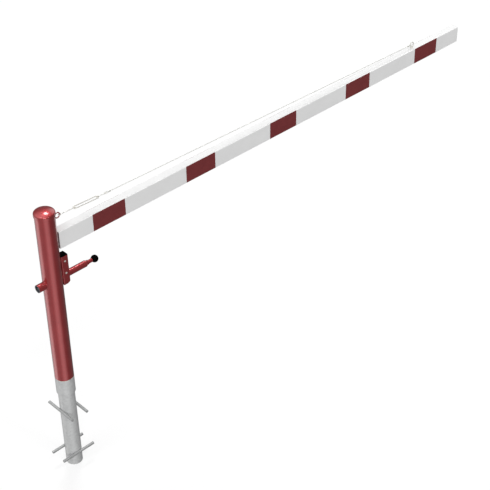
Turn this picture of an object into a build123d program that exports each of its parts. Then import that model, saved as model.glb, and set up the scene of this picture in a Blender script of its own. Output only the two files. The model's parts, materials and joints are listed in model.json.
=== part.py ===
from build123d import *
import os
from math import acos, atan2, cos, degrees, sin, sqrt

# Swing barrier: a turning post on a fixed standpipe, with a stayed boom.
# Millimetres. Z is up, X runs along the closed boom, the origin is the
# centre of the standpipe's flat lower end. The boom's top sets the height
# of the post, the stay and the lock.

# Boom, 15 stripe lengths long
boom_top_z = 1517.0
stripe_length = 206.0
stripe_count = 15
boom_height = 100.0
boom_width = 50.0
boom_wall = 3.0
boom_corner = 3.0
boom_inner_corner = 1.0
boom_start_x = 53.1
end_cap_flange = 4.0
end_cap_round = 1.5
plug_wall = 2.5
end_cap_depth = 30.0
film_thickness = 0.4
film_wrap = 1.0
first_red_stripe = 1
red_stripe_step = 3

# Standpipe and its foot in the ground
ground_depth = 510.0
pipe_dia = 88.9
pipe_wall = 3.2
pipe_top_below_boom = 33.0
base_plate_thickness = 4.0
collar_dia = 101.6
collar_height = 103.0
collar_clearance = 0.05

# Anchor bars across the foot, let into slots in the standpipe's wall and welded
anchor_dia = 16.0
anchor_length = 203.0
anchor_slot_depth = 4.4
lower_anchor_z = 85.0
upper_anchor_z = 389.0

# Bearing bushes between the standpipe and the turning post
bush_flange = 2.0
bush_flange_inset = 1.0
bush_length = 60.0
bush_fit = 0.05
thrust_gap = 0.3

# Turning post and its domed cap
post_dia = 101.6
post_wall = 3.6
post_above_boom = 129.0
cap_wall = 3.2
cap_overlap = 15.0
cap_shoulder_rise = 5.0
cap_dome_rise = 13.0
cap_shoulder_radius = 10.0

# Spigot that carries the boom, and the screws that hold it
spigot_clearance = 0.5
spigot_wall = 4.0
spigot_corner = 6.0
spigot_reach = 260.0
boom_screw_dia = 10.0
boom_screw_spacing = 130.0
boom_screw_start = 70.0
boom_screw_head = 16.0
boom_screw_head_height = 6.0
boom_screw_end = 6.0
screw_clearance = 0.2

# Stay eyes
eye_ring_dia = 35.0
eye_wire = 6.0
eye_collar_dia = 14.0
eye_collar_setback = 2.0
post_eye_x = 71.4
post_eye_below_top = 49.0
boom_eye_from_end = 415.1
boom_eye_lift = 22.5
linked_gap = 0.3

# Stay: turnbuckle and wire rope
stay_sag = 4.0
rod_dia = 5.0
rod_end_inside = 6.0
rope_dia = 4.0
hook_drop = 2.5
hook_arc = 290.0
turnbuckle_start_x = 169.0
turnbuckle_length = 154.0
turnbuckle_bar_spacing = 15.0
turnbuckle_bar_dia = 5.0
turnbuckle_boss_dia = 11.0
turnbuckle_boss_length = 9.0
turnbuckle_turn = 15.0
tail_eye_distance = 46.0
tail_eye_radius = 5.5
loop_length = 14.0
ferrule_length = 12.0
ferrule_width = 7.5
ferrule_height = 10.0

# Lock casing on the boom side of the post
casing_size = 40.0
casing_wall = 3.0
casing_corner = 4.0
casing_start_x = 53.5
casing_top_below_boom = 55.5
casing_length = 171.5
casing_chamfer_x = 16.0
casing_chamfer_z = 10.0
casing_cap_height = 3.0
casing_cap_taper = 20.0
casing_cap_plug = 14.0
casing_bolt_x = 72.0
casing_bolt_drop = 30.5
casing_bolt_clearance = 3.5
casing_bolt_dia = 6.0
casing_bolt_head = 10.0
casing_bolt_head_height = 2.5
casing_nut_height = 5.0
casing_bolt_end = 7.0
strip_width = 20.0
strip_margin = 12.0

# Pull bolt and the sleeve that guides it
lock_axis_rise = 44.5
sleeve_dia = 35.0
sleeve_wall = 3.0
sleeve_end_x = 205.0
guide_length = 14.0
guide_setback = 2.0
nose_length = 17.0
nose_tip_dia = 24.0
bolt_dia = 20.0
bolt_fit = 0.05
bolt_tip_x = 50.0
bolt_tip_chamfer = 1.5
bolt_hole_clearance = 0.6
knob_dia = 40.0
knob_x = 263.5
knob_bore_depth = 14.0

# Key stub on the other side of the post
stub_dia = 42.4
stub_wall = 3.2
stub_face_x = -92.0
key_core_dia = 25.0
key_core_x = -82.5
key_core_length = 20.0
key_core_fit = 0.05
key_liner_wall = 2.0
key_liner_setback = 1.0
key_side = 15.0
key_length = 5.0
weld_inset = 0.4

# Worked out from the sizes above
pipe_r = pipe_dia / 2
post_r = post_dia / 2
post_bore_r = post_r - post_wall
boom_length = stripe_length * stripe_count
boom_mid_z = boom_top_z - boom_height / 2
boom_bottom_z = boom_top_z - boom_height
pipe_top_z = boom_bottom_z - pipe_top_below_boom
collar_top_z = ground_depth + collar_height
post_bottom_z = collar_top_z + bush_flange + thrust_gap
post_top_z = boom_top_z + post_above_boom
post_eye_z = post_top_z - post_eye_below_top
boom_eye_x = boom_start_x + boom_length - boom_eye_from_end
boom_screw_places = [boom_start_x + boom_screw_start, boom_start_x + boom_screw_start + boom_screw_spacing]
anchor_offset = pipe_r + anchor_dia / 2 - anchor_slot_depth
eye_mid_r = (eye_ring_dia - eye_wire) / 2
hook_mid_r = eye_wire / 2 + rod_dia / 2 + linked_gap
loop_mid_r = eye_wire / 2 + rope_dia / 2 + linked_gap
casing_end_x = casing_start_x + casing_size
casing_top_z = boom_bottom_z - casing_top_below_boom
casing_bottom_z = casing_top_z - casing_length
lock_axis_z = casing_bottom_z + lock_axis_rise
casing_bolt_heights = {
    "casing_bolt_upper": casing_top_z - casing_bolt_drop,
    "casing_bolt_lower": lock_axis_z + sleeve_dia / 2 + casing_bolt_clearance + casing_bolt_dia / 2,
}

os.makedirs("parts", exist_ok=True)


# A straight tube from a plane along its normal
def tube(plane, outer_r, inner_r, length):
    with BuildPart() as made:
        with BuildSketch(plane):
            Circle(outer_r)
            Circle(inner_r, mode=Mode.SUBTRACT)
        extrude(amount=length)
    return made.part


def finish(piece, name):
    piece.label = name
    export_step(piece, f"parts/{name}.step")


# The plane square to the lock's axis, a distance from the post's centre
def lock_plane(x):
    return Plane(origin=(x, 0, lock_axis_z), x_dir=(0, 1, 0), z_dir=(1, 0, 0))


# Middle and direction of each anchor bar, one pair along the boom and one pair across it
anchors = {
    "lower_anchor_front": ((0, -anchor_offset, lower_anchor_z), (1, 0, 0)),
    "lower_anchor_rear": ((0, anchor_offset, lower_anchor_z), (1, 0, 0)),
    "upper_anchor_left": ((-anchor_offset, 0, upper_anchor_z), (0, 1, 0)),
    "upper_anchor_right": ((anchor_offset, 0, upper_anchor_z), (0, 1, 0)),
}

# Standpipe: fixed tube from the ground up into the post, drilled for the bolt at each quarter turn
# and slotted for the anchor bars
with BuildPart() as standpipe:
    with BuildSketch(Plane.XY):
        Circle(pipe_r)
        Circle(pipe_r - pipe_wall, mode=Mode.SUBTRACT)
    extrude(amount=pipe_top_z)
    for drilled_from in (Plane.YZ, Plane.XZ):
        with BuildSketch(drilled_from):
            with Locations((0, lock_axis_z)):
                Circle(bolt_dia / 2 + bolt_hole_clearance)
        extrude(amount=pipe_dia, both=True, mode=Mode.SUBTRACT)
    for middle, direction in anchors.values():
        with BuildSketch(Plane(origin=middle, z_dir=direction)):
            Circle(anchor_dia / 2)
        extrude(amount=anchor_length / 2, both=True, mode=Mode.SUBTRACT)
finish(standpipe.part, "standpipe")

# Disc that closes the standpipe's lower end
with BuildPart() as base_plate:
    with BuildSketch(Plane.XY):
        Circle(pipe_r - pipe_wall)
    extrude(amount=base_plate_thickness)
finish(base_plate.part, "standpipe_base_plate")

ground_collar = tube(Plane.XY.offset(ground_depth), collar_dia / 2, pipe_r + collar_clearance, collar_height)
finish(ground_collar, "ground_collar")

# Flanged bushes, the lower one under the post and the upper one on the standpipe's end
with BuildPart() as lower_bush:
    with BuildSketch(Plane.XY.offset(collar_top_z)):
        Circle(post_r - bush_flange_inset)
        Circle(pipe_r + bush_fit, mode=Mode.SUBTRACT)
    extrude(amount=bush_flange)
    with BuildSketch(Plane.XY.offset(collar_top_z)):
        Circle(post_bore_r - bush_fit)
        Circle(pipe_r + bush_fit, mode=Mode.SUBTRACT)
    extrude(amount=bush_length)
finish(lower_bush.part, "lower_bearing_bush")

with BuildPart() as upper_bush:
    with BuildSketch(Plane.XY.offset(pipe_top_z - bush_length)):
        Circle(post_bore_r - bush_fit)
        Circle(pipe_r + bush_fit, mode=Mode.SUBTRACT)
    extrude(amount=bush_length)
    with BuildSketch(Plane.XY.offset(pipe_top_z)):
        Circle(post_bore_r - bush_fit)
        Circle(pipe_r - pipe_wall, mode=Mode.SUBTRACT)
    extrude(amount=bush_flange)
finish(upper_bush.part, "upper_bearing_bush")

# Anchor bars in their slots
for name, (middle, direction) in anchors.items():
    with BuildPart() as anchor:
        with BuildSketch(Plane(origin=middle, z_dir=direction)):
            Circle(anchor_dia / 2)
        extrude(amount=anchor_length / 2, both=True)
    finish(anchor.part, name)

# Turning post with openings for the bolt's sleeve and the key stub
with BuildPart() as post:
    with BuildSketch(Plane.XY.offset(post_bottom_z)):
        Circle(post_r)
        Circle(post_bore_r, mode=Mode.SUBTRACT)
    extrude(amount=post_top_z - post_bottom_z)
    with BuildSketch(lock_plane(0)):
        Circle(sleeve_dia / 2)
    extrude(amount=post_dia, mode=Mode.SUBTRACT)
    with BuildSketch(lock_plane(0)):
        Circle(stub_dia / 2)
    extrude(amount=-post_dia, mode=Mode.SUBTRACT)
finish(post.part, "turning_post")

# Domed cap over the post's upper end: a hollow dome with a rounded shoulder and a skirt round the post
cap_r = post_r + cap_wall
cap_skirt_z = post_top_z - cap_overlap
cap_shoulder_z = post_top_z + cap_shoulder_rise
cap_apex_z = cap_shoulder_z + cap_dome_rise
dome_radius = (cap_r**2 + cap_dome_rise**2) / (2 * cap_dome_rise)
hollow_radius = dome_radius - cap_wall
hollow_edge_z = cap_apex_z - dome_radius + sqrt(hollow_radius**2 - post_bore_r**2)
with BuildPart() as cap:
    with BuildSketch(Plane.XZ) as cap_profile:
        with BuildLine():
            dome = RadiusArc((0, cap_apex_z), (cap_r, cap_shoulder_z), dome_radius)
            hollow = RadiusArc((0, cap_apex_z - cap_wall), (post_bore_r, hollow_edge_z), hollow_radius)
            Polyline(dome @ 1, (cap_r, cap_skirt_z), (post_r, cap_skirt_z),
                     (post_r, post_top_z), (post_bore_r, post_top_z), hollow @ 1)
            Line(hollow @ 0, dome @ 0)
        make_face()
        shoulder = cap_profile.vertices().sort_by_distance((cap_r, cap_shoulder_z, 0))[0]
        fillet(shoulder, cap_shoulder_radius)
    revolve(axis=Axis.Z)
finish(cap.part, "post_cap")

# Eyes for the stay, one on the post and one on the boom
with BuildPart() as post_eye:
    with BuildSketch(Plane(origin=(post_eye_x + eye_mid_r, 0, post_eye_z), z_dir=(0, 0, 1))):
        Circle(eye_wire / 2)
    revolve(axis=Axis((post_eye_x, 0, post_eye_z), (0, 1, 0)))
    eye_back_x = post_eye_x - eye_mid_r
    with BuildSketch(Plane(origin=(eye_back_x, 0, post_eye_z), z_dir=(-1, 0, 0))):
        Circle(eye_wire / 2)
    extrude(until=Until.NEXT, target=post.part)
    with BuildSketch(Plane(origin=(eye_back_x - eye_collar_setback, 0, post_eye_z), z_dir=(-1, 0, 0))):
        Circle(eye_collar_dia / 2)
    extrude(until=Until.NEXT, target=post.part)
finish(post_eye.part, "post_stay_eye")

boom_eye_z = boom_top_z + boom_eye_lift
with BuildPart() as boom_eye:
    with BuildSketch(Plane(origin=(boom_eye_x + eye_mid_r, 0, boom_eye_z), z_dir=(0, 0, 1))):
        Circle(eye_wire / 2)
    revolve(axis=Axis((boom_eye_x, 0, boom_eye_z), (0, 1, 0)))
    with BuildSketch(Plane(origin=(boom_eye_x, 0, boom_top_z), z_dir=(0, 0, 1))):
        Circle(eye_collar_dia / 2)
    extrude(amount=boom_eye_lift - eye_mid_r)
finish(boom_eye.part, "boom_stay_eye")

# Boom: hollow section, closed at its far end by a plugged cap
boom_section = Plane(origin=(boom_start_x, 0, boom_mid_z), x_dir=(0, 1, 0), z_dir=(1, 0, 0))
inner_width = boom_width - 2 * boom_wall
inner_height = boom_height - 2 * boom_wall
with BuildPart() as boom:
    with BuildSketch(boom_section):
        RectangleRounded(boom_width, boom_height, boom_corner)
        RectangleRounded(inner_width, inner_height, boom_inner_corner, mode=Mode.SUBTRACT)
    extrude(amount=boom_length)
    with BuildSketch(Plane.XY.offset(boom_bottom_z)):
        with Locations(*[(x, 0) for x in boom_screw_places]):
            Circle(boom_screw_dia / 2)
    extrude(amount=boom_height / 2, mode=Mode.SUBTRACT)
finish(boom.part, "boom_beam")

with BuildPart() as end_cap:
    with BuildSketch(boom_section.offset(boom_length)):
        RectangleRounded(boom_width, boom_height, boom_corner)
    extrude(amount=end_cap_flange)
    with BuildSketch(boom_section.offset(boom_length)):
        RectangleRounded(inner_width, inner_height, boom_inner_corner)
        RectangleRounded(inner_width - 2 * plug_wall, inner_height - 2 * plug_wall,
                         boom_inner_corner, mode=Mode.SUBTRACT)
    extrude(amount=-end_cap_depth)
    fillet(end_cap.faces().sort_by(Axis.X)[-1].edges(), end_cap_round)
finish(end_cap.part, "boom_end_cap")

# Red reflective films on both broad sides, just round the corners at their upper and lower edges
for side, sign in (("front", -1), ("back", 1)):
    with BuildPart() as films:
        for n in range(first_red_stripe, stripe_count, red_stripe_step):
            with BuildSketch(boom_section.offset(n * stripe_length)):
                RectangleRounded(boom_width + 2 * film_thickness, boom_height + 2 * film_thickness,
                                 boom_corner + film_thickness)
                RectangleRounded(boom_width, boom_height, boom_corner, mode=Mode.SUBTRACT)
                with Locations((sign * boom_width / 2, 0)):
                    Rectangle(2 * film_wrap, 2 * boom_height, mode=Mode.INTERSECT)
            extrude(amount=stripe_length)
    finish(films.part, f"red_films_{side}")

# Spigot: a stub of box section, coped to the post, inside the boom
spigot_width = inner_width - 2 * spigot_clearance
spigot_height = inner_height - 2 * spigot_clearance
with BuildPart() as spigot:
    with BuildSketch(boom_section.offset(-boom_start_x)):
        RectangleRounded(spigot_width, spigot_height, spigot_corner)
        RectangleRounded(spigot_width - 2 * spigot_wall, spigot_height - 2 * spigot_wall,
                         spigot_corner - spigot_wall, mode=Mode.SUBTRACT)
    extrude(amount=boom_start_x + spigot_reach)
    with BuildSketch(Plane.XY.offset(boom_bottom_z)):
        Circle(post_r)
    extrude(amount=boom_height, mode=Mode.SUBTRACT)
    with BuildSketch(Plane.XY.offset(boom_bottom_z)):
        with Locations(*[(x, 0) for x in boom_screw_places]):
            Circle(boom_screw_dia / 2)
    extrude(amount=boom_height / 2, mode=Mode.SUBTRACT)
finish(spigot.part, "boom_spigot")

with BuildPart() as boom_screws:
    for x in boom_screw_places:
        with BuildSketch(Plane(origin=(x, 0, boom_bottom_z), z_dir=(0, 0, -1))):
            RegularPolygon(radius=boom_screw_head / 2, side_count=6, major_radius=False)
        extrude(amount=boom_screw_head_height)
        with BuildSketch(Plane(origin=(x, 0, boom_bottom_z), z_dir=(0, 0, 1))):
            Circle(boom_screw_dia / 2 - screw_clearance)
        extrude(amount=boom_wall + spigot_clearance + spigot_wall + boom_screw_end)
finish(boom_screws.part, "boom_screws")

# The stay runs from the post's eye to the boom's eye in two straight lines, because the
# turnbuckle's weight pulls it a little down where the turnbuckle's eye joins the rope
hook_x = post_eye_x + sqrt(eye_mid_r**2 - hook_drop**2)
hook_z = post_eye_z - hook_drop
rope_end_x = boom_eye_x - eye_mid_r
link_x = turnbuckle_start_x + turnbuckle_length + tail_eye_distance + tail_eye_radius
link_share = (link_x - hook_x) / (rope_end_x - hook_x)
link_z = hook_z + (boom_eye_z - hook_z) * link_share - stay_sag


# The plane of an upright line, with its x axis along the line
def line_plane(start_x, start_z, end_x, end_z):
    return Plane(origin=(start_x, 0, start_z), x_dir=(end_x - start_x, 0, end_z - start_z), z_dir=(0, -1, 0))


turnbuckle_line = line_plane(hook_x, hook_z, link_x, link_z)
rope_line = line_plane(link_x, link_z, rope_end_x, boom_eye_z)


# A plane square to a line, a distance along it, turned about it
def square_to(line, distance, turn=0.0):
    across = Vector(0, 1, 0).rotate(Axis((0, 0, 0), line.x_dir), turn)
    return Plane(origin=line.from_local_coords((distance, 0, 0)), x_dir=across, z_dir=line.x_dir)


# A plane through the turnbuckle's line, a distance along it, facing sideways
def beside_turnbuckle(distance):
    middle = turnbuckle_line.from_local_coords((distance, 0, 0))
    return Plane(origin=middle, x_dir=turnbuckle_line.x_dir, z_dir=(0, 1, 0))


body_start = (turnbuckle_start_x - hook_x) / turnbuckle_line.x_dir.X
body_end = body_start + turnbuckle_length
tail_link_at = (link_x - hook_x) / turnbuckle_line.x_dir.X
tail_eye_at = tail_link_at - tail_eye_radius

# Turnbuckle body: two bosses joined by two bars, turned a little about its own line
with BuildPart() as turnbuckle:
    for start, run in ((body_start, turnbuckle_boss_length), (body_end, -turnbuckle_boss_length)):
        with BuildSketch(square_to(turnbuckle_line, start)):
            Circle(turnbuckle_boss_dia / 2)
        extrude(amount=run)
        with BuildSketch(square_to(turnbuckle_line, start + run, turnbuckle_turn)):
            Rectangle(turnbuckle_bar_spacing + turnbuckle_bar_dia, turnbuckle_bar_dia)
        extrude(amount=-run / 2)
    with BuildSketch(square_to(turnbuckle_line, body_start + turnbuckle_boss_length / 2, turnbuckle_turn)):
        with GridLocations(turnbuckle_bar_spacing, 0, 2, 1):
            Circle(turnbuckle_bar_dia / 2)
    extrude(amount=turnbuckle_length - turnbuckle_boss_length)
    with BuildSketch(square_to(turnbuckle_line, body_start)):
        Circle(rod_dia / 2 + linked_gap / 2)
    extrude(amount=turnbuckle_length, mode=Mode.SUBTRACT)
finish(turnbuckle.part, "turnbuckle_body")

# Hook rod through the post's eye, and eye rod towards the rope
with BuildPart() as hook:
    with BuildSketch(square_to(turnbuckle_line, hook_mid_r)):
        Circle(rod_dia / 2)
    extrude(amount=body_start + turnbuckle_boss_length + rod_end_inside - hook_mid_r)
    with BuildSketch(beside_turnbuckle(hook_mid_r)):
        Circle(rod_dia / 2)
    revolve(axis=Axis(turnbuckle_line.origin, turnbuckle_line.y_dir), revolution_arc=hook_arc)
finish(hook.part, "turnbuckle_hook")

tail_rod_at = body_end - turnbuckle_boss_length - rod_end_inside
tail_eye_middle = turnbuckle_line.from_local_coords((tail_eye_at, 0, 0))
with BuildPart() as tail:
    with BuildSketch(square_to(turnbuckle_line, tail_rod_at)):
        Circle(rod_dia / 2)
    extrude(amount=tail_eye_at - tail_eye_radius - tail_rod_at)
    with BuildSketch(beside_turnbuckle(tail_link_at)):
        Circle(rod_dia / 2)
    revolve(axis=Axis(tail_eye_middle, turnbuckle_line.y_dir))
finish(tail.part, "turnbuckle_eye")

# Wire rope with a loop at each end, each closed by a pressed ferrule
rope_length = (rope_end_x - link_x) / rope_line.x_dir.X
first_ferrule = loop_length + linked_gap
last_ferrule = rope_length - loop_length - linked_gap - ferrule_length
loop_reach = sqrt(loop_length**2 + (rope_dia / 2) ** 2)
loop_spread = atan2(rope_dia / 2, loop_length) + acos(loop_mid_r / loop_reach)
touch_point = (loop_mid_r * cos(loop_spread), loop_mid_r * sin(loop_spread))
last_loop_plane = Plane(origin=rope_line.from_local_coords((rope_length, 0, 0)),
                        x_dir=-rope_line.x_dir, z_dir=rope_line.y_dir)
with BuildPart() as rope:
    with BuildSketch(square_to(rope_line, first_ferrule - rope_dia)):
        Circle(rope_dia / 2)
    extrude(amount=last_ferrule + ferrule_length - first_ferrule + 2 * rope_dia)
    for loop_plane in (rope_line, last_loop_plane):
        with BuildLine(loop_plane) as loop_path:
            Line((loop_length, rope_dia / 2), touch_point)
            CenterArc((0, 0), loop_mid_r, degrees(loop_spread), 360 - 2 * degrees(loop_spread))
            Line((touch_point[0], -touch_point[1]), (loop_length, -rope_dia / 2))
        loop_wire = loop_path.wire()
        with BuildSketch(Plane(origin=loop_wire @ 0, z_dir=loop_wire % 0)):
            Circle(rope_dia / 2)
        sweep(path=loop_wire)
finish(rope.part, "stay_rope")

for name, start in (("ferrule_post_end", first_ferrule), ("ferrule_boom_end", last_ferrule)):
    with BuildPart() as ferrule:
        with BuildSketch(square_to(rope_line, start)):
            Ellipse(ferrule_width / 2, ferrule_height / 2)
            Circle(rope_dia / 2, mode=Mode.SUBTRACT)
        extrude(amount=ferrule_length)
    finish(ferrule.part, name)

# Lock casing: a length of box section with one lower corner cut off, on a strip against the post
casing_plane = Plane(origin=(0, casing_size / 2, 0), x_dir=(1, 0, 0), z_dir=(0, -1, 0))
casing_outline = [
    (casing_start_x, casing_bottom_z), (casing_end_x - casing_chamfer_x, casing_bottom_z),
    (casing_end_x, casing_bottom_z + casing_chamfer_z), (casing_end_x, casing_top_z),
    (casing_start_x, casing_top_z),
]
with BuildPart() as casing:
    with BuildSketch(casing_plane):
        with BuildLine():
            Polyline(*casing_outline, close=True)
        make_face()
    extrude(amount=casing_size)
    fillet(casing.edges().filter_by(Axis.Z), casing_corner)
    offset(amount=-casing_wall, openings=casing.faces().sort_by(Axis.Z)[-1])
    with BuildSketch(lock_plane(0)):
        Circle(sleeve_dia / 2)
    extrude(amount=2 * casing_end_x, mode=Mode.SUBTRACT)
    with BuildSketch(Plane.XZ):
        with Locations(*[(casing_bolt_x, height) for height in casing_bolt_heights.values()]):
            Circle(casing_bolt_dia / 2 + screw_clearance)
    extrude(amount=casing_size, both=True, mode=Mode.SUBTRACT)
finish(casing.part, "lock_casing")

casing_bore = casing_size - 2 * casing_wall
casing_bore_corner = casing_corner - casing_wall
casing_top = Plane(origin=(casing_start_x + casing_size / 2, 0, casing_top_z), z_dir=(0, 0, 1))
with BuildPart() as casing_cap:
    with BuildSketch(casing_top):
        RectangleRounded(casing_size, casing_size, casing_corner)
    extrude(amount=casing_cap_height, taper=casing_cap_taper)
    with BuildSketch(casing_top):
        RectangleRounded(casing_bore, casing_bore, casing_bore_corner)
        Rectangle(casing_bore - 2 * plug_wall, casing_bore - 2 * plug_wall, mode=Mode.SUBTRACT)
    extrude(amount=-casing_cap_plug)
finish(casing_cap.part, "lock_casing_cap")

with BuildPart() as strip:
    with BuildSketch(Plane.XY.offset(casing_bottom_z + strip_margin)):
        with Locations((casing_start_x - strip_width / 2, 0)):
            Rectangle(strip_width, strip_width)
        Circle(post_r, mode=Mode.SUBTRACT)
    extrude(amount=casing_length - 2 * strip_margin)
    with BuildSketch(lock_plane(0)):
        Circle(sleeve_dia / 2)
    extrude(amount=2 * casing_end_x, mode=Mode.SUBTRACT)
finish(strip.part, "casing_mount_strip")

# Bolts across the casing, each with a nut on the far side
for name, bolt_z in casing_bolt_heights.items():
    front_face = Plane(origin=(casing_bolt_x, -casing_size / 2, bolt_z), x_dir=(1, 0, 0), z_dir=(0, -1, 0))
    back_face = Plane(origin=(casing_bolt_x, casing_size / 2, bolt_z), x_dir=(1, 0, 0), z_dir=(0, 1, 0))
    with BuildPart() as casing_bolt:
        for face, height in ((front_face, casing_bolt_head_height), (back_face, casing_nut_height)):
            with BuildSketch(face):
                RegularPolygon(radius=casing_bolt_head / 2, side_count=6, major_radius=False)
            extrude(amount=height)
        for reach in (casing_bolt_end, -casing_size):
            with BuildSketch(back_face):
                Circle(casing_bolt_dia / 2)
            extrude(amount=reach)
    finish(casing_bolt.part, name)

# Sleeve for the pull bolt, through the casing, with a guide ring at each end
sleeve_bore_r = sleeve_dia / 2 - sleeve_wall
with BuildPart() as sleeve:
    with BuildSketch(lock_plane(0)):
        Circle(sleeve_dia / 2)
        Circle(sleeve_bore_r, mode=Mode.SUBTRACT)
    extrude(amount=sleeve_end_x)
    with BuildSketch(Plane.XY.offset(lock_axis_z - sleeve_dia)):
        Circle(post_bore_r + weld_inset)
    extrude(amount=2 * sleeve_dia, mode=Mode.SUBTRACT)
finish(sleeve.part, "bolt_sleeve")

guide_bore_r = bolt_dia / 2 + bolt_fit
inner_guide = tube(lock_plane(post_r + guide_setback), sleeve_bore_r, guide_bore_r, guide_length)
finish(inner_guide, "inner_bolt_guide")

# The outer guide ends in a tapered nose beyond the sleeve
nose_plane = Plane(origin=(sleeve_end_x, 0, lock_axis_z), x_dir=(1, 0, 0), z_dir=(0, -1, 0))
with BuildPart() as outer_guide:
    with BuildSketch(nose_plane):
        with BuildLine():
            Polyline((-guide_length, guide_bore_r), (nose_length, guide_bore_r),
                     (nose_length, nose_tip_dia / 2), (0, sleeve_bore_r),
                     (-guide_length, sleeve_bore_r), close=True)
        make_face()
    revolve(axis=Axis((sleeve_end_x, 0, lock_axis_z), (1, 0, 0)))
finish(outer_guide.part, "outer_bolt_guide")

bolt_end_x = knob_x - knob_dia / 2 + knob_bore_depth
with BuildPart() as pull_bolt:
    with BuildSketch(lock_plane(bolt_tip_x)):
        Circle(bolt_dia / 2)
    extrude(amount=bolt_end_x - bolt_tip_x)
    chamfer(pull_bolt.edges().sort_by(Axis.X)[0], bolt_tip_chamfer)
finish(pull_bolt.part, "pull_bolt")

with BuildPart() as knob:
    with BuildSketch(Plane(origin=(knob_x, 0, lock_axis_z), x_dir=(1, 0, 0), z_dir=(0, -1, 0))):
        with BuildLine():
            half = CenterArc((0, 0), knob_dia / 2, 0, 180)
            Line(half @ 1, half @ 0)
        make_face()
    revolve(axis=Axis((knob_x, 0, lock_axis_z), (1, 0, 0)))
    with BuildSketch(lock_plane(bolt_tip_x)):
        Circle(bolt_dia / 2)
    extrude(amount=bolt_end_x - bolt_tip_x, mode=Mode.SUBTRACT)
finish(knob.part, "ball_knob")

# Key stub: a short tube lined by the lock's housing, with a turning three-cornered key pin sunk in it
stub_bore_r = stub_dia / 2 - stub_wall
with BuildPart() as stub:
    with BuildSketch(lock_plane(stub_face_x)):
        Circle(stub_dia / 2)
        Circle(stub_bore_r, mode=Mode.SUBTRACT)
    extrude(amount=-stub_face_x)
    with BuildSketch(Plane.XY.offset(lock_axis_z - stub_dia)):
        Circle(post_bore_r + weld_inset)
    extrude(amount=2 * stub_dia, mode=Mode.SUBTRACT)
finish(stub.part, "key_stub")

with BuildPart() as core_housing:
    with BuildSketch(lock_plane(key_core_x)):
        Circle(stub_bore_r)
        Circle(key_core_dia / 2 + key_core_fit, mode=Mode.SUBTRACT)
    extrude(amount=key_core_length)
    with BuildSketch(lock_plane(key_core_x)):
        Circle(stub_bore_r)
        Circle(stub_bore_r - key_liner_wall, mode=Mode.SUBTRACT)
    extrude(amount=stub_face_x + key_liner_setback - key_core_x)
finish(core_housing.part, "key_core_housing")

with BuildPart() as core:
    with BuildSketch(lock_plane(key_core_x)):
        Circle(key_core_dia / 2)
    extrude(amount=key_core_length)
    with BuildSketch(lock_plane(key_core_x)):
        RegularPolygon(radius=key_side / sqrt(3), side_count=3)
    extrude(amount=-key_length)
finish(core.part, "key_pin")
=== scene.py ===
import json
import math

import bpy
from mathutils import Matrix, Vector


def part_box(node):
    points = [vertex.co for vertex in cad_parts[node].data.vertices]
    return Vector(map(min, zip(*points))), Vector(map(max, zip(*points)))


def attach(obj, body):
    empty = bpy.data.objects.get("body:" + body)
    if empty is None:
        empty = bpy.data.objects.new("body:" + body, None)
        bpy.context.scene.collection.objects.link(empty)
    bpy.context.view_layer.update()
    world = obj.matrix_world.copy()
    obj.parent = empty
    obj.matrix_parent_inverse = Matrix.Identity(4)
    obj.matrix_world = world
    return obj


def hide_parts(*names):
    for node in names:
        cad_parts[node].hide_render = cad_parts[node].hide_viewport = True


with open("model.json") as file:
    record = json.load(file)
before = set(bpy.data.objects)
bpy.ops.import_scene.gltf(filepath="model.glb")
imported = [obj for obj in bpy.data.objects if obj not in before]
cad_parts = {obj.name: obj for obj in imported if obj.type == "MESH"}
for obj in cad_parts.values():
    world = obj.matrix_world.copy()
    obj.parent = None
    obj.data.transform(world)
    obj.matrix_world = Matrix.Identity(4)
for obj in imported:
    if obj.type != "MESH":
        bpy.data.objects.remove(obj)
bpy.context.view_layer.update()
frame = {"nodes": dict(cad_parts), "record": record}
nodes = frame["nodes"]
scene = bpy.context.scene
mm = 0.001  # a value whose name ends in Mm is in millimetres, and times this it is in metres
fullTurn = 2 * math.pi
print("stage: frame loaded,", len(nodes), "nodes")


# Small tools shared by the materials and the pieces

# sRGB hex, as a paint chart gives it, to the linear colour that a shader takes
def linearColour(hexText):
    channels = [int(hexText[i:i + 2], 16) / 255 for i in (1, 3, 5)]
    linear = [c / 12.92 if c <= 0.04045 else ((c + 0.055) / 1.055) ** 2.4 for c in channels]
    return (*linear, 1.0)


# One node, with its settings and the outputs that feed it
def addNode(tree, kind, settings=None, links=None):
    node = tree.nodes.new(kind)
    for name, value in (settings or {}).items():
        if isinstance(name, int) or name in node.inputs:
            node.inputs[name].default_value = value
        else:
            setattr(node, name, value)
    for name, source in (links or {}).items():
        tree.links.new(source, node.inputs[name])
    return node


# An empty material that ends in one principled shader
def startMaterial(name, settings):
    material = bpy.data.materials.new(name)
    material.use_nodes = True
    tree = material.node_tree
    tree.nodes.clear()
    shader = addNode(tree, "ShaderNodeBsdfPrincipled", settings)
    addNode(tree, "ShaderNodeOutputMaterial", links={"Surface": shader.outputs["BSDF"]})
    return material, tree, shader


# How often a pattern of one real size repeats in a metre
def perMetre(sizeInMm):
    return 1 / (sizeInMm * mm)


# A Mix node has sockets for several kinds of data. These are its two colours and the colour it gives
firstColour, secondColour = 6, 7
mixedColour = 2

# How fine the noises are, and the middle stretch of them that takes a colour from one shade to the other
noises = {"driftDetail": 3.0, "driftFrom": 0.35, "driftTo": 0.65, "waveDetail": 1.5}


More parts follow.
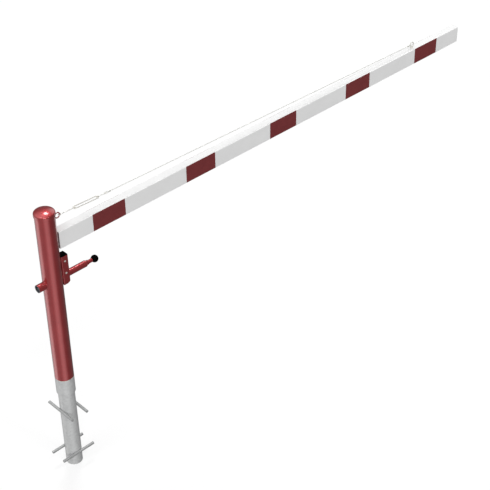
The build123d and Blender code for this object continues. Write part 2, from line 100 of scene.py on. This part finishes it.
# A colour that drifts between two shades in patches of one real size
def driftingColour(tree, place, shades, patchMm):
    noise = addNode(tree, "ShaderNodeTexNoise",
                    {"Scale": perMetre(patchMm), "Detail": noises["driftDetail"]}, {"Vector": place})
    share = addNode(tree, "ShaderNodeMapRange",
                    {"From Min": noises["driftFrom"], "From Max": noises["driftTo"]},
                    {"Value": noise.outputs["Fac"]})
    low, high = [linearColour(shade) for shade in shades]
    mix = addNode(tree, "ShaderNodeMix",
                  {"data_type": "RGBA", firstColour: low, secondColour: high},
                  {"Factor": share.outputs["Result"]})
    return mix.outputs[mixedColour]


# Fine waves on a surface, from a noise of one real size
def waveBump(tree, place, waveMm, reliefMm):
    noise = addNode(tree, "ShaderNodeTexNoise",
                    {"Scale": perMetre(waveMm), "Detail": noises["waveDetail"]}, {"Vector": place})
    bump = addNode(tree, "ShaderNodeBump", {"Distance": reliefMm * mm}, {"Height": noise.outputs["Fac"]})
    return bump.outputs["Normal"]


# A finish whose colour drifts and whose skin has fine waves, as most coats and mouldings have
def wavySurface(name, settings, shades, patchMm, waveMm, reliefMm):
    material, tree, shader = startMaterial(name, settings)
    place = addNode(tree, "ShaderNodeTexCoord").outputs["Object"]
    tree.links.new(driftingColour(tree, place, shades, patchMm), shader.inputs["Base Color"])
    tree.links.new(waveBump(tree, place, waveMm, reliefMm), shader.inputs["Normal"])
    return material


# Materials

# Red metallic powder coat on steel under a clear coat: a deep red that lights up along the tube
# where its flakes face the light, with sharp clear reflections over it and a faint orange peel
redCoat = {
    "shades": ("#a13235", "#a83639"),
    "patchMm": 60,
    "peelMm": 2.6,
    "reliefMm": 0.01,
    "flakes": 0.65,
    "roughness": 0.4,
    "clearCoat": 1.0,
    "clearRoughness": 0.04,
    "ior": 1.5,
}


def redPowderCoat():
    settings = {
        "Metallic": redCoat["flakes"],
        "Roughness": redCoat["roughness"],
        "IOR": redCoat["ior"],
        "Coat Weight": redCoat["clearCoat"],
        "Coat Roughness": redCoat["clearRoughness"],
        "Coat IOR": redCoat["ior"],
    }
    return wavySurface("redPowderCoat", settings, redCoat["shades"], redCoat["patchMm"],
                       redCoat["peelMm"], redCoat["reliefMm"])


# Painted shade on the spigot behind the boom's end: a dull brown-grey that stands in for the shade
# falling there between the post and the boom, with fine waves in its skin
spigotShadeCoat = {
    "shades": ("#4d3636", "#543a3a"),
    "patchMm": 15,
    "skinWaveMm": 1.4,
    "reliefMm": 0.03,
    "roughness": 0.6,
    "ior": 1.5,
}


def paintedShadeCoat():
    return wavySurface("paintedShadeCoat", {"Roughness": spigotShadeCoat["roughness"], "IOR": spigotShadeCoat["ior"]},
                       spigotShadeCoat["shades"], spigotShadeCoat["patchMm"], spigotShadeCoat["skinWaveMm"], spigotShadeCoat["reliefMm"])


# White powder coat on extruded aluminium: nearly white, satin, with the same fine peel
whiteCoat = {
    "shades": ("#ebebeb", "#eeeeee"),
    "patchMm": 90,
    "peelMm": 2.2,
    "reliefMm": 0.015,
    "roughness": 0.38,
    "ior": 1.5,
}


def whitePowderCoat():
    return wavySurface("whitePowderCoat", {"Roughness": whiteCoat["roughness"], "IOR": whiteCoat["ior"]},
                       whiteCoat["shades"], whiteCoat["patchMm"],
                       whiteCoat["peelMm"], whiteCoat["reliefMm"])


# Hot-dip galvanised steel: dull grey zinc, with spangles that catch the light a little differently
galvanised = {
    "shades": ("#c4c5c5", "#d0d1d1"),
    "barPaintedShades": ("#a2a3a3", "#adaeae"),  # painted shade: the bars are drawn darker than the tube, for the dark reflections they show near it
    "weldPaintedShades": ("#6a6b6b", "#787979"),  # painted shade: darker still, for the contact shade where each bar meets the tube
    "spangleMm": 11,
    "rippleMm": 4,
    "reliefMm": 0.03,
    "roughness": (0.44, 0.56),
    "metallic": 0.3,
}


def galvanisedSteel(name, shades):
    material, tree, shader = startMaterial(name, {"Metallic": galvanised["metallic"]})
    place = addNode(tree, "ShaderNodeTexCoord").outputs["Object"]
    spangle = addNode(tree, "ShaderNodeTexVoronoi",
                      {"Scale": perMetre(galvanised["spangleMm"])}, {"Vector": place})
    # Each spangle has a random colour, whose red picks its shade and whose green its roughness
    chance = addNode(tree, "ShaderNodeSeparateColor", links={"Color": spangle.outputs["Color"]})
    dark, pale = [linearColour(shade) for shade in shades]
    colour = addNode(tree, "ShaderNodeMix",
                     {"data_type": "RGBA", firstColour: dark, secondColour: pale},
                     {"Factor": chance.outputs["Red"]})
    smooth, rough = galvanised["roughness"]
    roughness = addNode(tree, "ShaderNodeMapRange", {"To Min": smooth, "To Max": rough},
                        {"Value": chance.outputs["Green"]})
    ripples = waveBump(tree, place, galvanised["rippleMm"], galvanised["reliefMm"])
    tree.links.new(colour.outputs[mixedColour], shader.inputs["Base Color"])
    tree.links.new(roughness.outputs["Result"], shader.inputs["Roughness"])
    tree.links.new(ripples, shader.inputs["Normal"])
    return material


# Reflective film: dull dark red, with the small cells that such sheeting is pressed into
film = {
    "shades": ("#6e2729", "#742b2c"),
    "patchMm": 40,
    "cellMm": 3.5,
    "cellUnevenness": 0.25,
    "cellEdge": 0.06,
    "edgeShade": "#843739",
    "reliefMm": 0.05,
    "reliefStrength": 0.4,
    "roughness": 0.42,
    "ior": 1.49,
}


def redFilm():
    material, tree, shader = startMaterial("redReflectiveFilm",
                                           {"Roughness": film["roughness"], "IOR": film["ior"]})
    place = addNode(tree, "ShaderNodeTexCoord").outputs["Object"]
    cells = addNode(tree, "ShaderNodeTexVoronoi", {
        "feature": "DISTANCE_TO_EDGE",
        "Scale": perMetre(film["cellMm"]),
        "Randomness": film["cellUnevenness"],
    }, {"Vector": place})
    edges = addNode(tree, "ShaderNodeMapRange",
                    {"From Max": film["cellEdge"], "To Min": 1.0, "To Max": 0.0},
                    {"Value": cells.outputs["Distance"]})
    ground = driftingColour(tree, place, film["shades"], film["patchMm"])
    colour = addNode(tree, "ShaderNodeMix",
                     {"data_type": "RGBA", secondColour: linearColour(film["edgeShade"])},
                     {"Factor": edges.outputs["Result"], firstColour: ground})
    bump = addNode(tree, "ShaderNodeBump",
                   {"Strength": film["reliefStrength"], "Distance": film["reliefMm"] * mm},
                   {"Height": cells.outputs["Distance"]})
    tree.links.new(colour.outputs[mixedColour], shader.inputs["Base Color"])
    tree.links.new(bump.outputs["Normal"], shader.inputs["Normal"])
    return material


# Bright zinc plating on small steel parts: smooth pale metal with a faint warm tone
zinc = {
    "shades": ("#cfcdc6", "#dbd9d2"),
    "rodShades": ("#e9e8e3", "#f2f1ed"),
    "patchMm": 5,
    "metallic": 0.3,
    "roughness": 0.32,
    "threadPitchMm": 1.0,
    "threadDepthMm": 0.35,
}


def zincPlate(name, shades, threaded=False):
    material, tree, shader = startMaterial(name, {"Metallic": zinc["metallic"],
                                                  "Roughness": zinc["roughness"]})
    place = addNode(tree, "ShaderNodeTexCoord").outputs["Object"]
    tree.links.new(driftingColour(tree, place, shades, zinc["patchMm"]), shader.inputs["Base Color"])
    if threaded:
        # The rods lie almost along X, so the thread's turns repeat along X
        axes = addNode(tree, "ShaderNodeSeparateXYZ", links={"Vector": place})
        turns = addNode(tree, "ShaderNodeMath",
                        {"operation": "MULTIPLY", 1: fullTurn * perMetre(zinc["threadPitchMm"])},
                        {0: axes.outputs["X"]})
        ridge = addNode(tree, "ShaderNodeMath", {"operation": "SINE"}, {0: turns.outputs["Value"]})
        bump = addNode(tree, "ShaderNodeBump", {"Distance": zinc["threadDepthMm"] * mm / 2},
                       {"Height": ridge.outputs["Value"]})
        tree.links.new(bump.outputs["Normal"], shader.inputs["Normal"])
    return material


# Galvanised wire rope: each strand is a bundle of drawn wires, so it glints along its lay
wire = {
    "shades": ("#dcdcd7", "#e9e9e5"),
    "patchMm": 3,
    "wireMm": 0.45,
    "reliefMm": 0.05,
    "metallic": 0.3,
    "roughness": 0.4,
}


def wireStrand():
    return wavySurface("galvanisedWire", {"Metallic": wire["metallic"], "Roughness": wire["roughness"]},
                       wire["shades"], wire["patchMm"], wire["wireMm"], wire["reliefMm"])


# Moulded plastics, all with a faint grain: black polyamide for the knob and the casing's cap, white
# for the boom's cap, and acetal for the bushes
plastics = {
    "ior": 1.5,
    "patchMm": 12,
    "reliefMm": 0.02,
    "kinds": {
        "blackPolyamide": {
            "shades": ("#020202", "#040404"), "roughness": 0.5, "specular": 0.02, "grainMm": 0.8},
        "whitePolyamide": {
            "shades": ("#dedede", "#e6e6e6"), "roughness": 0.4, "specular": 0.5, "grainMm": 0.8},
        "whiteAcetal": {
            "shades": ("#d8d5c8", "#e2dfd3"), "roughness": 0.45, "specular": 0.5, "grainMm": 1.0},
    },
}


def mouldedPlastic(name):
    kind = plastics["kinds"][name]
    settings = {
        "Roughness": kind["roughness"],
        "IOR": plastics["ior"],
        "Specular IOR Level": kind["specular"],
    }
    return wavySurface(name, settings, kind["shades"], plastics["patchMm"],
                       kind["grainMm"], plastics["reliefMm"])


# Turned metals inside the lock: brass guides and dark steel, with the fine rings of the lathe tool
turned = {
    "patchMm": 6,
    "ringMm": 1.2,
    "reliefMm": 0.02,
    "squeeze": (4.0, 1.0, 1.0),  # the waves are pressed together along X, the axis of turning
    "kinds": {
        "turnedBrass": {"shades": ("#a8843a", "#b9954a"), "metallic": 1.0, "roughness": 0.3},
        "turnedSteel": {"shades": ("#4a4c51", "#585a60"), "metallic": 0.4, "roughness": 0.5},
    },
}


def turnedMetal(name):
    kind = turned["kinds"][name]
    material, tree, shader = startMaterial(name, {"Metallic": kind["metallic"],
                                                  "Roughness": kind["roughness"]})
    place = addNode(tree, "ShaderNodeTexCoord").outputs["Object"]
    rings = addNode(tree, "ShaderNodeMapping", {"Scale": turned["squeeze"]}, {"Vector": place})
    colour = driftingColour(tree, place, kind["shades"], turned["patchMm"])
    bump = waveBump(tree, rings.outputs["Vector"], turned["ringMm"], turned["reliefMm"])
    tree.links.new(colour, shader.inputs["Base Color"])
    tree.links.new(bump, shader.inputs["Normal"])
    return material


finishes = {
    "galvanised_steel": galvanisedSteel("galvanisedSteel", galvanised["shades"]),
    "bearing_plastic": mouldedPlastic("whiteAcetal"),
    "red_enamel": redPowderCoat(),
    "white_coated_aluminium": whitePowderCoat(),
    "white_plastic": mouldedPlastic("whitePolyamide"),
    "red_film": redFilm(),
    "zinc_plated_steel": zincPlate("zincPlatedSteel", zinc["shades"]),
    "stay_wire": wireStrand(),
    "black_plastic": mouldedPlastic("blackPolyamide"),
    "guide_brass": turnedMetal("turnedBrass"),
    "lock_steel": turnedMetal("turnedSteel"),
}
threadedZinc = zincPlate("threadedZinc", zinc["rodShades"], threaded=True)
# The anchor bars' darker colour is painted shade, for the dark reflections they show near the tube
barPaintedShade = galvanisedSteel("galvanisedBarPaintedShade", galvanised["barPaintedShades"])
# The anchor welds' dark colour is painted contact shade
weldPaintedShade = galvanisedSteel("galvanisedWeldPaintedShade", galvanised["weldPaintedShades"])
# The spigot's colour is painted shade
spigotPaintedShade = paintedShadeCoat()

# Nodes that differ from the rest of their slot
anchorNodes = ("lower_anchor_front", "lower_anchor_rear", "upper_anchor_left", "upper_anchor_right")
ownFinishes = {
    "turnbuckle_hook": threadedZinc,
    "turnbuckle_eye": threadedZinc,
    # painted shade on the spigot
    "boom_spigot": spigotPaintedShade,
    # painted shade on the anchor bars
    **dict.fromkeys(anchorNodes, barPaintedShade),
}


def finishNodes():
    for part in frame["record"]["subparts"]:
        node = nodes[part["node"]]
        material = ownFinishes.get(part["node"], finishes[part["material_slot"]])
        if not node.material_slots:
            node.data.materials.append(None)
        for materialSlot in node.material_slots:
            materialSlot.material = material


finishNodes()
print("stage: materials on the nodes")


# Pieces that the solids don't hold

# Two directions square to a path at each of its points, carried along it without a twist
def squareFrames(path, closed=False):
    count = len(path)
    frames = []
    side = None
    for i, point in enumerate(path):
        before = path[i - 1] if closed or i > 0 else point
        after = path[(i + 1) % count] if closed or i < count - 1 else point
        along = (after - before).normalized()
        if side is None:
            side = along.orthogonal()
        side = (side - along * side.dot(along)).normalized()
        frames.append((side, along.cross(side)))
    return frames


# Adds a tube round a path to a mesh's corners and faces, with a radius for each point
def addTube(verts, faces, path, radii, sides, closed=False):
    first = len(verts)
    count = len(path)
    for point, radius, (side, other) in zip(path, radii, squareFrames(path, closed)):
        for k in range(sides):
            turn = fullTurn * k / sides
            verts.append(point + radius * (math.cos(turn) * side + math.sin(turn) * other))
    for i in range(count if closed else count - 1):
        ring, nextRing = first + i * sides, first + (i + 1) % count * sides
        for k in range(sides):
            m = (k + 1) % sides
            faces.append((ring + k, ring + m, nextRing + m, nextRing + k))
    if not closed:
        faces.append([first + k for k in reversed(range(sides))])
        faces.append([first + (count - 1) * sides + k for k in range(sides)])


# A new piece from corners and faces, with its slot's finish or its own, carried by its body
def addPiece(name, verts, faces, body, slotName, finish=None):
    mesh = bpy.data.meshes.new(name)
    mesh.from_pydata(verts, [], faces)
    mesh.polygons.foreach_set("use_smooth", [True] * len(faces))
    mesh.materials.append(finish or finishes[slotName])
    mesh.update()
    piece = bpy.data.objects.new(name, mesh)
    scene.collection.objects.link(piece)
    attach(piece, body)
    return piece


def middleOf(node):
    low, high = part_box(node)
    return (low + high) / 2


def sizeOf(node):
    low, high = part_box(node)
    return high - low


# Stay: one wire rope, bent back round the turnbuckle's eye and round the boom's ring, and laid from
# six strands on a core
rope = {
    "diameterMm": 4.0,
    "strands": 6,
    "strandSides": 6,
    "layMm": 26,
    "stepMm": 2.4,
    "ferruleMm": 12.0,
    "loopMm": 14.3,  # from the middle of the eye to the ferrule
    "bendMm": 5.3,
    "bendStepDeg": 12,
    "straightShare": 0.7,  # place of the straight legs' point, as a share from bend to ferrule
    "legMm": 1.7,  # each leg's distance from the middle inside the ferrule
    "mouthMm": 1.0,  # depth of the legs' first point in the ferrule
    "mouthWidenMm": 0.15,  # how much further out than legMm each leg lies there
    "depthShares": (0.4, 0.8),  # depth of the legs' other two points, in ferrule lengths
    "closingShares": (0.7, 0.15),  # the live leg's distance from the middle there, in legMm
    "runShare": 0.6,  # start of the long run, in ferrule lengths from the ferrule's middle
}


# One loop from its cut end, hidden in the ferrule, round the eye and back to the rope's line
def loopPath(centre, towardsFerrule, across):
    halfRope = rope["diameterMm"] / 2
    bend, loop, leg = rope["bendMm"], rope["loopMm"], rope["legMm"]
    spread = math.atan2(halfRope, loop) + math.acos(bend / math.hypot(loop, halfRope))
    far = rope["straightShare"]
    straightX = loop * far + bend * (1 - far) * math.cos(spread)
    straightY = halfRope * far + bend * (1 - far) * math.sin(spread)
    mouth, mouthLeg = loop + rope["mouthMm"], leg + rope["mouthWidenMm"]
    midway, deepest = [loop + rope["ferruleMm"] * share for share in rope["depthShares"]]
    midwayLeg, deepestLeg = [leg * share for share in rope["closingShares"]]
    bendTurn = fullTurn - 2 * spread
    bendSteps = round(math.degrees(bendTurn) / rope["bendStepDeg"])
    turns = [-spread - bendTurn * n / bendSteps for n in range(bendSteps + 1)]
    line = [
        (deepest, -leg), (midway, -leg), (mouth, -mouthLeg), (straightX, -straightY),
        *[(bend * math.cos(turn), bend * math.sin(turn)) for turn in turns],
        (straightX, straightY), (mouth, mouthLeg), (midway, midwayLeg), (deepest, deepestLeg),
    ]
    return [centre + (x * towardsFerrule + y * across) * mm for x, y in line]


def ropeLine():
    first, last = middleOf("ferrule_post_end"), middleOf("ferrule_boom_end")
    along = (last - first).normalized()
    levelAcross = Vector((0, -1, 0))
    eyeDistance = (rope["loopMm"] + rope["ferruleMm"] / 2) * mm
    # The loop at the turnbuckle stands upright, and the one at the boom's ring lies crosswise
    firstLoop = loopPath(first - along * eyeDistance, along, levelAcross.cross(along))
    lastLoop = loopPath(last + along * eyeDistance, -along, levelAcross)
    runStart = first + along * rope["ferruleMm"] * mm * rope["runShare"]
    runEnd = last - along * rope["ferruleMm"] * mm * rope["runShare"]
    steps = round((runEnd - runStart).length / (rope["stepMm"] * mm))
    run = [runStart.lerp(runEnd, n / steps) for n in range(steps + 1)]
    return firstLoop + run + list(reversed(lastLoop))


def ropeStrands():
    path = ropeLine()
    strandRadius = rope["diameterMm"] * mm / 6  # three strands lie side by side across the rope
    fromCore = 2 * strandRadius
    distances = [0.0]
    for before, after in zip(path, path[1:]):
        distances.append(distances[-1] + (after - before).length)
    verts, faces = [], []
    addTube(verts, faces, path, [strandRadius] * len(path), rope["strandSides"])
    for n in range(rope["strands"]):
        strand = []
        for point, distance, (side, other) in zip(path, distances, squareFrames(path)):
            turn = fullTurn * (distance / (rope["layMm"] * mm) + n / rope["strands"])
            strand.append(point + fromCore * (math.cos(turn) * side + math.sin(turn) * other))
        addTube(verts, faces, strand, [strandRadius] * len(strand), rope["strandSides"])
    piece = addPiece("stay_rope_strands", verts, faces, "swing_arm", "stay_wire")
    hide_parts("stay_rope")


ropeStrands()
print("stage: rope strands")


# Welds: beads along the lines where two pieces meet, with the even ripples of a hand weld
welds = {
    "stepMm": 0.8,
    "rippleMm": 3.2,
    "rippleShare": 0.1,
    "sides": 8,
    "lockBeadMm": 2.0,
    "eyeBeadMm": 1.1,
    "eyeCollarMm": 14.0,
    "saddleStepDeg": 3,
    "spigotBeadMm": 1.0,
    "spigotCornerMm": 6.0,
    "cornerStepDeg": 15,
    "edgeParts": 5,
    "anchorBeadMm": 1.7,
    "anchorSteps": 24,
}


# The same closed line with its points an even step apart
def evenly(points):
    step = welds["stepMm"] * mm
    spaced = []
    waiting = 0.0
    for before, after in zip(points, points[1:] + points[:1]):
        length = (after - before).length
        while waiting < length:
            spaced.append(before.lerp(after, waiting / length))
            waiting += step
        waiting -= length
    return spaced


def addWeld(name, outline, beadMm, body, slotName, finish=None):
    path = evenly(outline)
    count = len(path)
    ripples = max(1, round(count * welds["stepMm"] / welds["rippleMm"]))
    radii = [beadMm * mm * (1 + welds["rippleShare"] * math.sin(fullTurn * ripples * i / count))
             for i in range(count)]
    verts, faces = [], []
    addTube(verts, faces, path, radii, welds["sides"], closed=True)
    addPiece(name, verts, faces, body, slotName, finish)


# Where a round piece along X meets the upright post, on the side that sign names
def saddleLine(radius, height, sign):
    postRadius = sizeOf("turning_post").y / 2
    line = []
    for degree in range(0, 360, welds["saddleStepDeg"]):
        turn = math.radians(degree)
        y = radius * math.cos(turn)
        x = sign * math.sqrt(postRadius**2 - y**2)
        line.append(Vector((x, y, height + radius * math.sin(turn))))
    return line


# Where the spigot's rounded box meets the post
def spigotLine():
    postRadius = sizeOf("turning_post").y / 2
    size, height = sizeOf("boom_spigot"), middleOf("boom_spigot").z
    corner = welds["spigotCornerMm"] * mm
    parts = welds["edgeParts"]
    section = []
    for quarter, (signY, signZ) in enumerate(((1, 1), (-1, 1), (-1, -1), (1, -1))):
        middleY, middleZ = signY * (size.y / 2 - corner), signZ * (size.z / 2 - corner)
        for degree in range(0, 90 + 1, welds["cornerStepDeg"]):
            turn = math.radians(90 * quarter + degree)
            section.append((middleY + corner * math.cos(turn), middleZ + corner * math.sin(turn)))
    # Each edge of the section is divided, so that its bead follows the post's curve
    outline = []
    for (y, z), (nextY, nextZ) in zip(section, section[1:] + section[:1]):
        for n in range(parts):
            alongY = y + (nextY - y) * n / parts
            alongZ = z + (nextZ - z) * n / parts
            outline.append(Vector((math.sqrt(postRadius**2 - alongY**2), alongY, height + alongZ)))
    return outline


# Where an anchor bar lies in its slot in the standpipe's wall
def anchorLine(node):
    middle, size = middleOf(node), sizeOf(node)
    pipeRadius, barRadius = sizeOf("standpipe").y / 2, size.z / 2
    alongBar = Vector((1, 0, 0)) if size.x > size.y else Vector((0, 1, 0))
    outwards = Vector((middle.x, middle.y, 0))
    offset = outwards.length
    outwards.normalize()
    widest = math.acos((offset - pipeRadius) / barRadius)
    steps = welds["anchorSteps"]
    line = []
    for sign in (1, -1):
        for n in range(steps):
            turn = sign * widest * (2 * n / steps - 1)
            out = offset - barRadius * math.cos(turn)
            aside = sign * math.sqrt(max(0.0, pipeRadius**2 - out**2))
            height = Vector((0, 0, middle.z + barRadius * math.sin(turn)))
            line.append(outwards * out + alongBar * aside + height)
    return line


addWeld("key_stub_weld", saddleLine(sizeOf("key_stub").z / 2, middleOf("key_stub").z, -1),
        welds["lockBeadMm"], "swing_arm", "red_enamel")
addWeld("bolt_sleeve_weld", saddleLine(sizeOf("bolt_sleeve").z / 2, middleOf("bolt_sleeve").z, 1),
        welds["lockBeadMm"], "swing_arm", "red_enamel")
addWeld("post_eye_weld", saddleLine(welds["eyeCollarMm"] * mm / 2, middleOf("post_stay_eye").z, 1),
        welds["eyeBeadMm"], "swing_arm", "red_enamel")
# The spigot's bead takes the same painted shade as the spigot
addWeld("boom_spigot_weld", spigotLine(),
        welds["spigotBeadMm"], "swing_arm", "red_enamel", spigotPaintedShade)
# The anchor beads are drawn dark: painted contact shade where each bar meets the tube
for anchor in anchorNodes:
    addWeld(anchor + "_weld", anchorLine(anchor),
            welds["anchorBeadMm"], "fixed_post", "galvanised_steel", weldPaintedShade)
print("stage: welds")


# Lock: the flange that closes off the face of the key stub, seated on its wall and on the lining
lockFace = {
    "boreMm": 16.0,
    "liningMm": 18.0,
    "setbackMm": 1.0,
    "thickMm": 0.5,
    "roundMm": 0.25,
    "segments": 96,
}


def lockFlange():
    low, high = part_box("key_stub")
    outer = (high.z - low.z) / 2 / mm
    bore, lining, setback = lockFace["boreMm"], lockFace["liningMm"], lockFace["setbackMm"]
    thick, soft = lockFace["thickMm"], lockFace["roundMm"]
    # Distance outwards from the stub's face, and radius
    outline = [
        (-setback, bore),
        (thick - soft, bore),
        (thick, bore + soft),
        (thick, outer - 2 * soft),
        (thick - soft, outer - soft / 2),
        (0.0, outer),
        (0.0, lining),
        (-setback, lining),
    ]
    axisHeight = (low.z + high.z) / 2
    count, segments = len(outline), lockFace["segments"]
    verts, faces = [], []
    for n in range(segments):
        turn = fullTurn * n / segments
        for out, radius in outline:
            y, z = radius * mm * math.cos(turn), radius * mm * math.sin(turn)
            verts.append(Vector((low.x - out * mm, y, axisHeight + z)))
        for k in range(count):
            m, nextRing = (k + 1) % count, (n + 1) % segments * count
            faces.append((n * count + k, nextRing + k, nextRing + m, n * count + m))
    piece = addPiece("lock_face_flange", verts, faces, "swing_arm", "lock_steel")
    piece.data.polygons.foreach_set("use_smooth", [False] * len(faces))


lockFlange()
print("stage: lock face")


# Floor, light and camera

# The room is white to the eye. Mirrored, it is grey with large soft white screens, as a photo studio is
studio = {
    "floorShade": "#8c8c8c",
    "floorReach": 30.0,
    "floorDropMm": 0.5,  # the floor lies this far under the part, so that the two don't share a face
    "floorGlow": 0.72,
    "ambient": 0.2,  # plain light from all round, to which the soft wall adds more from one side
    "softWall": {"towards": (-0.6, -0.4, 0.85), "reachDeg": 60, "softDeg": 55, "glow": 0.47},
    "seenRoom": 1.0,
    "mirroredRoom": 0.15,
    "screens": {
        "leftScreen": {"towards": (-0.654, 0.493, -0.574), "reachDeg": 14, "softDeg": 1.5, "glow": 0.75},
        "backScreen": {"towards": (-0.346, 0.742, -0.574), "reachDeg": 26, "softDeg": 14, "glow": 0.5},
        "leftRoom": {"towards": (-0.863, 0.076, -0.5), "reachDeg": 55, "softDeg": 30, "glow": 0.3},
        "frontScreen": {"towards": (-0.305, -0.755, -0.57), "reachDeg": 20, "softDeg": 14, "glow": 1.0},
        "ceiling": {"towards": (-0.5, 0.25, 0.83), "reachDeg": 44, "softDeg": 16, "glow": 1.1},
        "rearScreen": {"towards": (0.85, 0.3, 0.42), "reachDeg": 21, "softDeg": 9, "glow": 1.35},
    },
    "lamps": {
        "overheadLamp": {"from": (0.338, 0.345, 0.875), "strength": 0.95, "spreadDeg": 15},
        "leftLamp": {"from": (-0.49, 0.01, 0.87), "strength": 0.55, "spreadDeg": 24},
        "frontLamp": {"from": (0.09, -0.52, 0.85), "strength": 0.35, "spreadDeg": 8},
        "lowLamp": {"from": (-0.5, -0.76, 0.42), "strength": 1.35, "spreadDeg": 30},
    },
}


# What each kind of ray finds: white for the eye, the screens for a reflection, plain light for the rest
def roomGlow(tree, forEye, forMirror, forLight):
    path = addNode(tree, "ShaderNodeLightPath")
    mirrored = addNode(tree, "ShaderNodeMath", {"operation": "MAXIMUM"},
                       {0: path.outputs["Is Glossy Ray"], 1: path.outputs["Is Transmission Ray"]})
    unseen = addNode(tree, "ShaderNodeMix",
                     links={"Factor": mirrored.outputs["Value"], "A": forLight, "B": forMirror})
    glow = addNode(tree, "ShaderNodeMix", {"B": forEye},
                   {"Factor": path.outputs["Is Camera Ray"], "A": unseen.outputs["Result"]})
    return glow.outputs["Result"]


# A round screen with a soft edge, seen in one direction of the room, added to the glow so far
def screenGlow(tree, direction, screen, glowSoFar):
    middle = Vector(screen["towards"]).normalized()
    facing = addNode(tree, "ShaderNodeVectorMath", {"operation": "DOT_PRODUCT", 1: middle},
                     {0: direction})
    away = addNode(tree, "ShaderNodeMath", {"operation": "ARCCOSINE"}, {0: facing.outputs["Value"]})
    shade = addNode(tree, "ShaderNodeMapRange", {
        "interpolation_type": "SMOOTHSTEP",
        "From Min": math.radians(screen["reachDeg"] + screen["softDeg"]),
        "From Max": math.radians(screen["reachDeg"] - screen["softDeg"]),
        "To Max": screen["glow"],
    }, {"Value": away.outputs["Value"]})
    total = addNode(tree, "ShaderNodeMath", {"operation": "ADD"},
                    {0: shade.outputs["Result"], 1: glowSoFar})
    return total.outputs["Value"]


def buildSky():
    world = bpy.data.worlds.new("studioSky")
    world.use_nodes = True
    world.cycles.sampling_method = "NONE"  # or its light would ignore what kind of ray asks
    tree = world.node_tree
    tree.nodes.clear()
    direction = addNode(tree, "ShaderNodeTexCoord").outputs["Generated"]
    plain = addNode(tree, "ShaderNodeValue").outputs["Value"]
    plain.default_value = studio["ambient"]
    plain = screenGlow(tree, direction, studio["softWall"], plain)
    mirrored = addNode(tree, "ShaderNodeValue").outputs["Value"]
    mirrored.default_value = studio["mirroredRoom"]
    for screen in studio["screens"].values():
        mirrored = screenGlow(tree, direction, screen, mirrored)
    strength = roomGlow(tree, studio["seenRoom"], mirrored, plain)
    sky = addNode(tree, "ShaderNodeBackground", {"Color": (1, 1, 1, 1)}, {"Strength": strength})
    addNode(tree, "ShaderNodeOutputWorld", links={"Surface": sky.outputs["Background"]})
    scene.world = world


# The floor takes shadows, and stands aside for reflections, which find the room's screens behind it
def buildFloor():
    reach = studio["floorReach"]
    corners = [(x * reach, y * reach, 0) for x, y in ((-1, -1), (1, -1), (1, 1), (-1, 1))]
    mesh = bpy.data.meshes.new("studioFloor")
    mesh.from_pydata(corners, [], [(0, 1, 2, 3)])
    floor = bpy.data.objects.new("studioFloor", mesh)
    floor.location.z = -studio["floorDropMm"] * mm
    floor.visible_glossy = False
    scene.collection.objects.link(floor)
    material, tree, shader = startMaterial("paleFloor", {
        "Base Color": linearColour(studio["floorShade"]),
        "Roughness": 1.0,
        "Specular IOR Level": 0.0,
        "Emission Color": (1, 1, 1, 1),
    })
    path = addNode(tree, "ShaderNodeLightPath")
    glow = addNode(tree, "ShaderNodeMath", {"operation": "MULTIPLY", 1: studio["floorGlow"]},
                   {0: path.outputs["Is Camera Ray"]})
    tree.links.new(glow.outputs["Value"], shader.inputs["Emission Strength"])
    floor.data.materials.append(material)


def hangLamps():
    for name, choice in studio["lamps"].items():
        lamp = bpy.data.lights.new(name, "SUN")
        lamp.energy = choice["strength"]
        lamp.angle = math.radians(choice["spreadDeg"])
        holder = bpy.data.objects.new(name, lamp)
        holder.rotation_euler = Vector(choice["from"]).to_track_quat("Z", "Y").to_euler()
        scene.collection.objects.link(holder)


# The view looks down one corner of the frame, with its centre a little off the lens's axis
view = {
    "place": (-2.7700, -4.2985, 5.1308),
    "forward": (1, 1, -1),
    "lensMm": 94.10,
    "sensorMm": 36.0,
    "shift": (-0.05351, -0.04824),
    "reach": 100,
}


def placeCamera():
    lens = bpy.data.cameras.new("viewCamera")
    lens.lens = view["lensMm"]
    lens.sensor_width = view["sensorMm"]
    lens.shift_x, lens.shift_y = view["shift"]
    lens.clip_end = view["reach"]
    camera = bpy.data.objects.new("viewCamera", lens)
    camera.location = view["place"]
    camera.rotation_euler = Vector(view["forward"]).to_track_quat("-Z", "Y").to_euler()
    scene.collection.objects.link(camera)
    scene.camera = camera


buildSky()
buildFloor()
hangLamps()
placeCamera()
scene.view_settings.view_transform = "Standard"
print("stage: floor, light and camera")
